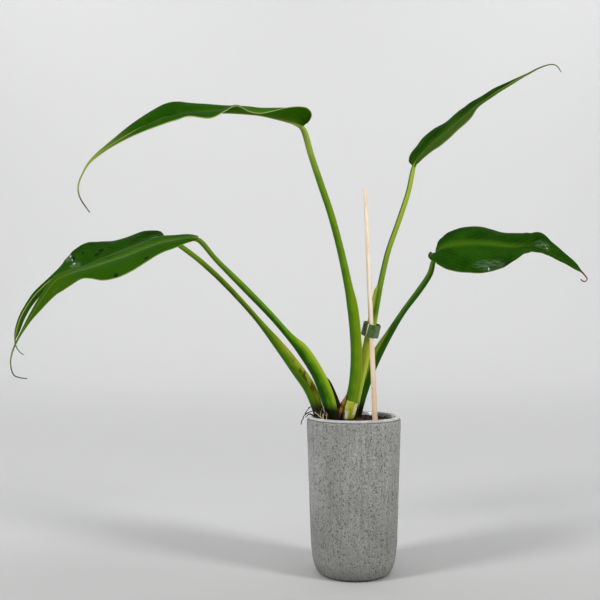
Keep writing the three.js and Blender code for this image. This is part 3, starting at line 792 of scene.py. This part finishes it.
def margin(spot, course, outward, up, half, way):
    """The lift in degrees and the set-back of a half that wide, whose edge the camera sees that way"""
    eye, way = CAMERA_AT - Vector(spot), Vector(way)
    eye_out, eye_up, way_out, way_up = eye.dot(outward), eye.dot(up), way.dot(outward), way.dot(up)
    square = way_out**2 + way_up**2
    closest = -(eye_out * way_out + eye_up * way_up) / square
    spread = math.sqrt(max(closest**2 - (eye_out**2 + eye_up**2 - half**2) / square, 0))
    meets = []
    for reach in (closest - spread, closest + spread):
        lift = math.degrees(math.atan2(eye_up + reach * way_up, eye_out + reach * way_out))
        meets.append((abs(lift), round(lift), round(-(eye + way * reach).dot(course), 1)))
    return min(meets)[1:]


def laid_out(leaf):
    """The rows of a leaf, worked out from points that were read in a zoomed crop of the photo

    Each row of points has the midrib's point, its depth in mm and, for the near half and the far one, their
    widths in mm and their margins' points, or their lifts in degrees where no margin can be read.
    """
    spots, rows = [], []
    for point, depth, *_ in leaf["points"]:
        right, ahead, rise = sight(leaf, point)
        reach = (depth - CAMERA_AT.y) / ahead
        spots.append((round(CAMERA_AT.x + reach * right, 1), depth, round(CAMERA_AT.z + reach * rise, 1)))
    for spot, (_, _, near, near_edge, far, far_edge) in zip(spots, leaf["points"]):
        course, across, up = ways(spots, len(rows) / (len(spots) - 1), leaf["turn"])
        found = []
        for outward, half, edge in ((-across, near, near_edge), (across, far, far_edge)):
            seen = isinstance(edge, tuple)
            found.append(margin(spot, course, outward, up, half, sight(leaf, edge)) if seen else (edge, 0))
        (near_lift, near_back), (far_lift, far_back) = found
        rows.append((*spot, near, far, near_lift, far_lift, near_back, far_back))
    return rows


def blade(name, leaf, rows, steps=24, width=48):
    """A sheet shaped into a leaf, with its veins pressed in, and thickened most at the midrib

    Each row is a place on the midrib and then, for the near half and the far one, their widths, their lifts
    in degrees and how far their margins are set back, in mm. The attributes are for the finishes: lay is the
    share of the length, the distance from the midrib and the share of the half width, and vein counts the
    side veins passed.
    """
    count = (len(rows) - 1) * steps
    piece = grid(name, count, width)
    stations = []
    length = 0
    for step in range(count + 1):
        u = step / count
        x, y, z, near, far, near_lift, far_lift, near_back, far_back = along(rows, u)
        middle = Vector((x, y, z))
        if stations:
            length += (middle - stations[-1][0]).length
        course, across, up = ways(rows, u, leaf["turn"])
        halves = []
        sides = ((-1, near, near_lift, near_back), (1, far, far_lift, far_back))
        for sign, half, lift, back in sides:
            lean = math.radians(lift)
            sideways = across * sign * math.cos(lean) + up * math.sin(lean)
            raised = up * math.cos(lean) - across * sign * math.sin(lean)
            halves.append((half, sideways, raised, course * back))
        stations.append((middle, halves, length))
    piece.data.attributes.new("lay", "FLOAT_VECTOR", "POINT")
    piece.data.attributes.new("vein", "FLOAT", "POINT")
    lays, veins, keels = [], [], []
    for vertex in piece.data.vertices:
        u = (vertex.co.x + 1) / 2
        s = math.copysign(abs(vertex.co.y) ** 1.3, vertex.co.y)
        out = abs(s)
        middle, halves, distance = stations[round(u * count)]
        half, sideways, raised, backward = halves[0 if s < 0 else 1]
        off = half * out
        passed = distance - VEIN_LEAN * off - VEIN_CURVE * off * off
        passed = passed / leaf.get("gap", VEIN_GAP) + (s > 0) / 2
        quilt = math.cos(math.tau * passed)
        fade = min(1, half / 14) * min(1, off / 3) * (1 - out**6)
        relief = leaf.get("relief", VEIN_RELIEF) * fade * (0.6 * quilt - max(-quilt, 0) ** 4)
        wave = noise.noise(Vector((distance, 1.6 * s * half, half)) * 0.035)
        swell = leaf.get("swell", LEAF_SWELL) * fade * wave
        groove = leaf.get("groove", RIB_GROOVE) * math.exp(-((off / GROOVE_HALF) ** 2)) * min(1, half / 8)
        bulge = 4 * leaf["arch"] * off * (1 - out) + relief + swell - groove
        vertex.co = (middle + sideways * off + raised * bulge - backward * out**1.5) * MM
        lays.extend((u, s * half, s))
        veins.append(passed)
        keels.append(max(0, 1 - off / KEEL_HALF) * (1 - u) ** 0.7)
    piece.data.attributes["lay"].data.foreach_set("vector", lays)
    piece.data.attributes["vein"].data.foreach_set("value", veins)
    ribbed = piece.vertex_groups.new(name="ribbed")
    for index, keel in enumerate(keels):
        ribbed.add([index], keel, "REPLACE")
    if leaf["turn"] < 0:
        bpy.ops.object.mode_set(mode="EDIT")
        bpy.ops.mesh.select_all(action="SELECT")
        bpy.ops.mesh.flip_normals()
        bpy.ops.object.mode_set(mode="OBJECT")
    thick = leaf.get("thick", LEAF_THICK)
    most = thick + leaf.get("keel", KEEL_DEEP)
    worked(
        piece,
        "SOLIDIFY",
        thickness=most * MM,
        offset=-1,
        vertex_group="ribbed",
        thickness_vertex_group=thick / most,
        material_offset=1,
        material_offset_rim=1,
    )
    smoothed(piece, 60)
    return piece


def leaf_skin(name, tones, upper=True):
    """The skin of one side of a leaf: ground, veins, midrib and margin, dry tip, wet marks and painted
    shade, painted sheen, lime flecks and painted highlights, and painted light at its base
    """
    material, nodes, place = finish(name)
    lay = nodes.node("Attribute", out="Vector", attribute_name="lay")
    reach = lay.axis("X")
    side = lay.axis("Y")
    share = lay.axis("Z")
    off = abs(side)
    out = abs(share)
    passed = nodes.node("Attribute", out="Fac", attribute_name="vein")
    between = abs(nodes.sum("FRACT", passed) - 0.5) * 2
    line = between.rise(0.16, 0.02)
    fine = abs(nodes.sum("FRACT", passed * 3 + 0.5) - 0.5) * 2
    cloud = place.noise(24, 3).rise(0.3, 0.7)
    speck = place.noise(0.9, 2)
    mottle = place.noise(2.4, 4, (1, 1, 2))
    streaky = place.noise(5, 3, (1, 1, 3)).rise(0.3, 0.62)

    def spot(u, across, long, wide):
        """1 at a place on the leaf, and 0 outside the oval that reaches so far along and across from it"""
        along_it = (reach - u) * (1 / long)
        across_it = (side - across) * (1 / wide)
        return (along_it * along_it + across_it * across_it + speck * 0.3).rise(1.1, 0.2)

    skin = cloud.mix(tones["dark"], tones["light"])
    skin = (mottle.rise(0.5, 0.3) * 0.35).mix(skin, tones["dark"])
    skin = (mottle.rise(0.52, 0.7) * 0.35).mix(skin, tones["light"])
    skin = (share.rise(0.25, -0.25) * tones["near_half"]).mix(skin, tones["near"])
    # painted light: the leaf's base made lighter where the leaf shades itself
    skin = (reach.rise(0.42, 0.3) * tones["foot_light_mix"]).mix(skin, tones["foot"])
    skin = (between.rise(0.75, 0.15) * 0.2).mix(skin, tones["light"])
    skin = (line * tones["veins"]).mix(skin, tones["vein"])
    skin = (fine.rise(0.14, 0.02) * tones["veins"] * 0.4).mix(skin, tones["vein"])
    skin = (place.noise(3.4, 2).rise(0.66, 0.74) * 0.2).mix(skin, LEAF_DARK)
    band = off.rise(7, 0) * tones["band"] * reach.rise(0.6, 0.45)
    skin = band.mix(skin, tones["midrib"])
    rib = reach.rise(0.42, 0.6)
    skin = (off.rise(1.0, 0.5) * (rib * 0.6 + tones["rib"])).mix(
        skin, rib.mix(tones["midrib"], tones["tail_rib"]))
    skin = (reach.rise(*tones["pale"]) * 0.8).mix(skin, tones["tail"])
    skin = (out.rise(*tones["margin_at"]) * tones["margin_mix"]).mix(skin, tones["margin"])
    skin = (reach.rise(*tones["dry"]) * 0.9).mix(skin, tones["tip"])
    gloss = place.noise(30, 2).rise(0.5, 0.8) * 0.008
    # dark glossy spots: wet marks on B and C, painted shade along E's lower edge
    for place_on_leaf in tones["wet_and_shade"]:
        dark_spot = spot(*place_on_leaf)
        skin = (dark_spot * 0.85).mix(skin, LEAF_WET_AND_SHADE)
        gloss = gloss + dark_spot * 0.6
    # painted sheen: soft pale grey-green streaks standing in for glossy highlights
    for place_on_leaf in tones["sheen"]:
        painted_sheen = spot(*place_on_leaf) * streaky
        skin = (painted_sheen * 0.25).mix(skin, LEAF_SHEEN_PAINT)
        gloss = gloss + painted_sheen * 0.5
    # whitish flecks: partly real lime residue, partly painted highlights
    for place_on_leaf in tones["lime_and_glints"]:
        skin = (spot(*place_on_leaf) * 0.75).mix(skin, LIME_AND_GLINT_WHITE)
    relief = speck * 0.1 - line * 0.1 + cloud * 0.6
    nodes.paint({
        "Base Color": skin,
        "Roughness": place.noise(6, 2) * 0.12 + (0.4 if upper else 0.5),
        "Specular IOR Level": 0.012,
        "Coat Weight": gloss,
        "Coat Roughness": 0.16,
        "Normal": relief.bump(0.16),
    })
    return material


LEAF_DARK = "122a05"
LEAF_WET_AND_SHADE = "081605"
LEAF_SHEEN_PAINT = "90a888"
LIME_AND_GLINT_WHITE = "dde3da"
UPPER = {
    "dark": "143403",
    "light": "234b05",
    "near": "234b05",
    "near_half": 0.0,
    "foot": "386a02",
    "foot_light_mix": 0.0,
    "vein": "4d7426",
    "veins": 0.12,
    "band": 0.15,
    "midrib": "5a8018",
    "rib": 0.3,
    "tail_rib": "aebd5a",
    "margin": "647f2c",
    "margin_at": (0.97, 0.99),
    "margin_mix": 0.6,
    "tail": "3a5f14",
    "tip": "6b4a25",
    "pale": (0.6, 0.9),
    "dry": (0.95, 1.0),
    "wet_and_shade": [],
    "sheen": [],
    "lime_and_glints": [],
}
UNDER = {"dark": "4c7a12", "light": "618c20", "near": "618c20", "vein": "8fae58", "midrib": "b4c25c"}
TONES = {
    "a": {
        "dark": "1a4402", "light": "285602", "foot_light_mix": 1, "rib": 0.6, "midrib": "8a9c44",
        "margin": "b5bf70", "margin_at": (0.95, 0.985), "margin_mix": 0.85, "tail": "8fa545",
        "pale": (0.66, 0.8), "tip": "3c2c16", "dry": (0.86, 1),
    },
    "b": {
        "dark": "1d4602", "light": "305e06", "vein": "789a48", "veins": 0.22, "band": 0.26,
        "midrib": "779840", "near_half": 0.6, "near": "234c02", "margin": "9db35a", "margin_mix": 0.7,
        "tail": "3c5e08", "pale": (0.42, 0.52), "tip": "33211f", "dry": (0.84, 0.9),
        "wet_and_shade": [(0.3, -27.5, 0.012, 3), (0.2, -24, 0.01, 2)],
    },
    "c": {
        "dark": "153204", "light": "26500a", "margin": "8fa852", "tip": "3a2a18",
        "wet_and_shade": [(0.25, 11, 0.016, 3.5), (0.27, 8, 0.016, 2.5), (0.4, 14, 0.02, 5), (0.33, 16, 0.01, 2)],
        # C's sheen and its whitish flecks are painted highlights
        "sheen": [(0.43, 17, 0.03, 7), (0.4, 5, 0.05, 4)],
        "lime_and_glints": [(0.42, 19, 0.008, 2.6), (0.407, 7, 0.014, 0.9), (0.415, 12, 0.005, 1.6)],
    },
    "d": {
        "light": "2a5606", "near": "4a6420", "near_half": 0.7, "margin": "8f9c60",
        "margin_at": (0.93, 0.98),
    },
    "e": {
        "dark": "143703", "light": "26500a", "band": 0.4, "rib": 0.15, "tail_rib": "3f6a1c",
        # E's dark spot low on its lower edge is painted shade
        "tail": "2a520a", "tip": "7a4030", "dry": (0.79, 0.83), "wet_and_shade": [(0.44, -29, 0.045, 4)],
        "sheen": [(0.35, -27, 0.08, 7), (0.6, 3, 0.05, 7), (0.06, -7, 0.03, 4)],
        "lime_and_glints": [(0.35, -31, 0.003, 2), (0.625, 2.4, 0.008, 0.5), (0.61, 4, 0.003, 0.5)],
    },
}
# A's underside: partly its own paler colour, partly painted glow for light shining through the leaf
PALE_AND_GLOWING_BACK = {"foot_light_mix": 0.0, "dark": "78ae16", "light": "8aba26", "near": "8aba26", "vein": "b5cc7c"}
BACKS = {"a": PALE_AND_GLOWING_BACK}
for letter, leaf in BLADES.items():
    leaf_blade = blade("leaf_blade_" + letter, leaf, laid_out(leaf))
    top = UPPER | TONES[letter]
    back = top | UNDER | BACKS.get(letter, {})
    leaf_blade.data.materials.append(leaf_skin("leaf_top_" + letter, top))
    leaf_blade.data.materials.append(leaf_skin("leaf_back_" + letter, back, upper=False))
    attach(leaf_blade, "root")
    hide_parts("blade_" + letter)

# The dried sheaths: two papery scraps of old leaf sheath at the foot of the plant, one orange-brown and
# curled round the foot of the middle stalk, and one black strip beside the front left stalk.
SHEATH = {
    "turn": -1, "arch": 0.2, "keel": 0.0, "thick": 0.6, "gap": 3, "relief": 0.25, "swell": 1.6,
    "groove": 0,
}
BROWN_SHEATH = [
    (-16, -12.5, 154, 2, 2, 70, -60, 0, 0),
    (-15.2, -13, 158.5, 2.8, 2.8, 70, -60, 0, 0),
    (-13.8, -13, 163.5, 2.7, 2.7, 70, -60, 0, 0),
    (-11.6, -12.5, 168.5, 2, 2, 70, -60, 0, 0),
    (-9.5, -12, 172.5, 1.2, 1.2, 70, -60, 0, 0),
    (-7.8, -11, 176.2, 0.6, 0.6, 70, -60, 0, 0),
]
BLACK_SHEATH = [
    (-14.2, -9, 148, 3, 3, 70, -70, 0, 0),
    (-14.6, -11.5, 160, 3.2, 3.2, 70, -70, 0, 0),
    (-16.9, -13, 169, 2.7, 2.7, 70, -70, 0, 0),
    (-19.6, -14, 176.5, 2.3, 2.3, 70, -70, 0, 0),
    (-22.6, -15, 184, 2, 2, 70, -70, 0, 0),
    (-25.3, -15.8, 190, 1.5, 1.5, 70, -70, 0, 0),
    (-27.3, -16, 193.6, 0.5, 0.5, 70, -70, 0, 0),
]


def dry_skin(name, dark, light, streak, dirt_and_shade=0.9):
    """Papery dead skin with long fibres, soil-stained and painted darker with shade at its foot"""
    material, nodes, place = finish(name)
    fibre = place.noise(1.1, 3, (1, 1, 0.16))
    skin = place.noise(6, 3).rise(0.35, 0.65).mix(dark, light)
    skin = (fibre.rise(0.52, 0.7) * 0.7).mix(skin, streak)
    height = place.axis("Z")
    # soil stain and painted shade at the foot
    skin = (height.rise(0.162, 0.157) * dirt_and_shade).mix(skin, SOIL_STAIN_AND_SHADE)
    nodes.paint({"Base Color": skin, "Roughness": 0.75, "Normal": fibre.bump(0.3)})
    return material


brown_scrap = blade("brown_dry_sheath", SHEATH, BROWN_SHEATH, 16, 24)
brown_scrap.data.materials.append(dry_skin("brown_dry_skin", "5c3610", "9a6218", "c79a4c"))
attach(brown_scrap, "root")
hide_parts("brown_sheath")
black_scrap = blade("black_dry_sheath", SHEATH, BLACK_SHEATH, 16, 24)
black_scrap.data.materials.append(dry_skin("black_dry_skin", "0e0906", "1f130b", "35200f"))
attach(black_scrap, "root")
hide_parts("black_sheath")

# The roots at the rim: dead air roots that rise from the soil on the left and bend over the rim, dark ones
# in a tangle, and beside them three pale, twisted strands.
DARK_ROOT_R = 0.7
PALE_ROOT_R = 0.6
DARK_ROOTS = [
    [(-31, -15, 148), (-31, -15.5, 157), (-37, -15, 160.5), (-43.3, -13, 160), (-49, -12, 156.5),
     (-51.5, -12, 151), (-52.6, -12, 147)],
    [(-34, -15, 148), (-36, -16, 158), (-39.7, -15, 164), (-43, -14, 165), (-46.5, -13, 161.5),
     (-49, -12, 156)],
    [(-36, -14, 148), (-39, -16, 155), (-43, -16.5, 158), (-46, -16, 157), (-48, -15, 154.5)],
    [(-36, -17, 148), (-36, -17.5, 158), (-31, -18, 160.5), (-26.5, -17, 158), (-24, -16, 150)],
    [(-40, -15, 148), (-38.5, -17, 155), (-34, -18, 156.5), (-29, -18, 154.5), (-26, -17, 149)],
    [(-34, -17, 148), (-33, -18, 156), (-34.5, -18, 162), (-37, -17, 165.5)],
]
PALE_ROOTS = [
    [(-34, -18, 149), (-33.2, -18.5, 158.8), (-32, -18.5, 163), (-29.9, -18, 165)],
    [(-31.5, -19, 150), (-30.8, -20, 158), (-29, -20, 160.5), (-27.2, -20, 158.5), (-28, -19.5, 151)],
    [(-39.5, -19, 160), (-37, -20, 158.5), (-35, -20, 156.5), (-33, -19.5, 155), (-31.5, -19, 150)],
]


def rootlets(name, lines, radius, wobble):
    """Thin roots along their lines, each a little thicker and thinner by turns"""
    strands = []
    for line in lines:
        rows = [(*point, radius * (1 - 0.5 * place / len(line)), 0) for place, point in enumerate(line)]
        strand = stalk(name, rows, (0.2, 1, 0.1), 12, 10)
        for vertex in strand.data.vertices:
            vertex.co += wobble * MM * noise.noise_vector(vertex.co * 400)
        strands.append(strand)
    return joined(strands, name)


dark_roots = rootlets("dark_dry_roots", DARK_ROOTS, DARK_ROOT_R, 0.5)
dark_roots.data.materials.append(dry_skin("dark_root_skin", "0e0b07", "1f1910", "33291a", 0))
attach(dark_roots, "root")
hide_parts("dark_roots")
pale_roots = rootlets("pale_dry_roots", PALE_ROOTS, PALE_ROOT_R, 0.7)
pale_roots.data.materials.append(dry_skin("pale_root_skin", "3a2a18", "cdb98a", "efe2bd", 0))
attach(pale_roots, "root")
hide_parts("pale_roots")

# The support stick: a round stick of pale bare wood, cut blunt at the top and pushed into the soil.
STAKE_FOOT = Vector((22.2, -19.8, 90))
STAKE_TOP = Vector((12.7, 9, 382.4))
STAKE_FOOT_R = 2.7
STAKE_TOP_R = 2.15
STAKE_CHAMFER = 0.35


def stick_wood():
    material, nodes, place = finish("stick_wood")
    grain = place.noise(0.8, 3, (1, 1, 0.035))
    tone = place.noise(2.4, 2, (1, 1, 0.05)).rise(0.35, 0.7)
    height = place.axis("Z")
    skin = tone.mix("fdefdc", "f2d8bf")
    skin = (height.rise(0.3, 0.16) * 0.55).mix(skin, "dcb48c")
    skin = (grain.rise(0.58, 0.75) * 0.5).mix(skin, "a98468")
    nodes.paint({"Base Color": skin, "Roughness": 0.6, "Normal": grain.bump(0.15)})
    return material


stick_length = (STAKE_TOP - STAKE_FOOT).length
bpy.ops.mesh.primitive_cone_add(
    vertices=48, radius1=STAKE_FOOT_R * MM, radius2=STAKE_TOP_R * MM, depth=stick_length * MM)
stick = bpy.context.object
stick.name = "support_stick"
worked(stick, "BEVEL", width=STAKE_CHAMFER * MM, segments=3, limit_method="ANGLE", angle_limit=1.0)
lean = (STAKE_TOP - STAKE_FOOT).to_track_quat("Z", "Y").to_matrix().to_4x4()
stick.data.transform(Matrix.Translation((STAKE_TOP + STAKE_FOOT) / 2 * MM) @ lean)
smoothed(stick, 30)
stick.data.materials.append(stick_wood())
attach(stick, "root")
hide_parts("stake")

# The plant clip: a short sleeve of clear green plastic, closed round the stick and the right-hand stalk.
CLIP_MIDDLE = Vector((17.6, -0.8, 240))
CLIP_LEAN = 13
CLIP_NOD = 9
HIGHLIGHT_CORNER = (-4.4, -8.1, 0)
CLIP_TURN = Euler((math.radians(CLIP_NOD), math.radians(CLIP_LEAN), 0))
CLIP_HIGH = 13
CLIP_WALL = 0.9
CLIP_CORNER_R = 1.6
CLIP_EDGE = 0.22
CLIP_CORNERS = [(-9.3, 0), (-4.9, -8.6), (2.6, -9.6), (8.6, -3), (7.8, 7.5), (-1, 10.2), (-8.5, 8.5)]


def green_plastic():
    material, nodes, place = finish("clip_plastic")
    sockets = {"Vector": place, "Location": CLIP_MIDDLE * MM, "Rotation": CLIP_TURN}
    turned_back = nodes.node("Mapping", sockets, vector_type="TEXTURE")
    x = turned_back.axis("X")
    y = turned_back.axis("Y")
    haze = place.noise(3, 3).rise(0.3, 0.7)
    skin = haze.mix("44661c", "607c3c")
    # painted light: the left and right faces lighter than the front face
    skin = (x.rise(-0.0035, -0.005) * 0.6).mix(skin, "6f8048")
    skin = (x.rise(0.0028, 0.004) * 0.6).mix(skin, "66825a")
    # painted highlight: a thin whitish line down the front-left corner
    from_highlight_corner = abs(x - HIGHLIGHT_CORNER[0] * MM) + abs(y - HIGHLIGHT_CORNER[1] * MM)
    skin = (from_highlight_corner.rise(0.0011, 0.0005) * 0.9).mix(skin, "e8ece2")
    nodes.paint({
        "Base Color": skin,
        "Roughness": haze * 0.1 + 0.15,
        "Transmission Weight": 0.3,
        "Normal": place.noise(8, 2).bump(0.2),
    })
    return material


bpy.ops.mesh.primitive_circle_add(vertices=len(CLIP_CORNERS), radius=1)
clip = bpy.context.object
clip.name = "green_clip"
for vertex, (x, y) in zip(clip.data.vertices, CLIP_CORNERS):
    vertex.co = Vector((x, y, -CLIP_HIGH / 2)) * MM
bpy.ops.object.mode_set(mode="EDIT")
bpy.ops.mesh.select_all(action="SELECT")
bpy.ops.mesh.extrude_region_move(TRANSFORM_OT_translate={"value": (0, 0, CLIP_HIGH * MM)})
bpy.ops.mesh.select_all(action="SELECT")
bpy.ops.mesh.normals_make_consistent(inside=False)
bpy.ops.object.mode_set(mode="OBJECT")
worked(clip, "BEVEL", width=CLIP_CORNER_R * MM, segments=4, limit_method="ANGLE", angle_limit=0.3)
worked(clip, "SOLIDIFY", thickness=CLIP_WALL * MM, offset=-1)
worked(clip, "BEVEL", width=CLIP_EDGE * MM, segments=2, limit_method="ANGLE", angle_limit=1.0)
clip.data.transform(Matrix.Translation(CLIP_MIDDLE * MM) @ CLIP_TURN.to_matrix().to_4x4())
smoothed(clip, 30)
clip.data.materials.append(green_plastic())
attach(clip, "root")
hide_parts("clip")

# The studio, which isn't part of the plant: a pale floor swept up into a backdrop, two large soft lights in
# front, one on each side, a weak one above, and the camera at the height of the clip.
FLOOR_HALF = 5.0
FLOOR_BACK = 3.0
FLOOR_BEND = 1.2
WALL_HIGH = 4.0
AIR_COLOUR = "eef0f2"
AIR_STRENGTH = 0.15
LIGHTS = [
    ("left_softbox", (-1.75, -1.1, 1.2), 0.5, 29),
    ("right_softbox", (1.75, -1.15, 1.15), 0.5, 29),
    ("top_softbox", (0, -0.4, 2.2), 1.4, 7),
    ("left_wall_wash", (-1.6, 1.2, 2.5), 1.4, 21),
    ("right_wall_wash", (1.6, 1.2, 2.5), 1.4, 21),
]
AIM = Vector((-0.03, 0, 0.25))
WALL_AIM = 1.3
WASH_SPREAD = 0.8


def backdrop_paint():
    material, nodes, place = finish("backdrop_paint")
    away = place.axis("Y")
    # painted light and shade: the floor darker, paler over the sweep up to the wall
    tone = away.rise(1.88, 2.25).mix("cbcbca", "dfdfdf")
    tone = away.rise(2.3, 4.6).mix(tone, "f2f2f2")
    nodes.paint({"Base Color": tone, "Roughness": 0.9})
    return material


bpy.ops.mesh.primitive_plane_add(size=2 * FLOOR_HALF, location=(0, FLOOR_BACK - FLOOR_HALF, 0))
backdrop = bpy.context.object
backdrop.name = "backdrop"
bpy.ops.object.mode_set(mode="EDIT")
bpy.ops.mesh.select_mode(type="EDGE")
bpy.ops.mesh.select_all(action="DESELECT")
bpy.ops.object.mode_set(mode="OBJECT")
for edge in backdrop.data.edges:
    ends = [backdrop.data.vertices[index].co.y for index in edge.vertices]
    edge.select = min(ends) > FLOOR_HALF - 0.01
bpy.ops.object.mode_set(mode="EDIT")
bpy.ops.mesh.extrude_region_move(TRANSFORM_OT_translate={"value": (0, 0, WALL_HIGH)})
bpy.ops.object.mode_set(mode="OBJECT")
worked(backdrop, "BEVEL", width=FLOOR_BEND, segments=24, limit_method="ANGLE", angle_limit=1.0)
smoothed(backdrop, 60)
backdrop.data.materials.append(backdrop_paint())

for name, spot, size, power in LIGHTS:
    bpy.ops.object.light_add(type="AREA", location=spot)
    lamp = bpy.context.object
    lamp.name = name
    lamp.data.size = size
    lamp.data.energy = power
    aim = Vector((spot[0] * WASH_SPREAD, FLOOR_BACK, WALL_AIM)) if "wall" in name else AIM
    lamp.rotation_euler = (aim - Vector(spot)).to_track_quat("-Z", "Y").to_euler()
world = bpy.data.worlds.new("studio_air")
bpy.context.scene.world = world
world.use_nodes = True
air = world.node_tree.nodes["Background"]
air.inputs["Color"].default_value = colour(AIR_COLOUR)
air.inputs["Strength"].default_value = AIR_STRENGTH

bpy.ops.object.camera_add(location=CAMERA_AT * MM, rotation=(math.pi / 2 + CAMERA_RISE, 0, 0))
camera = bpy.context.object
camera.data.sensor_width = CAMERA_FILM
camera.data.lens = CAMERA_LENS
bpy.context.scene.camera = camera
bpy.context.scene.view_settings.view_transform = "Standard"
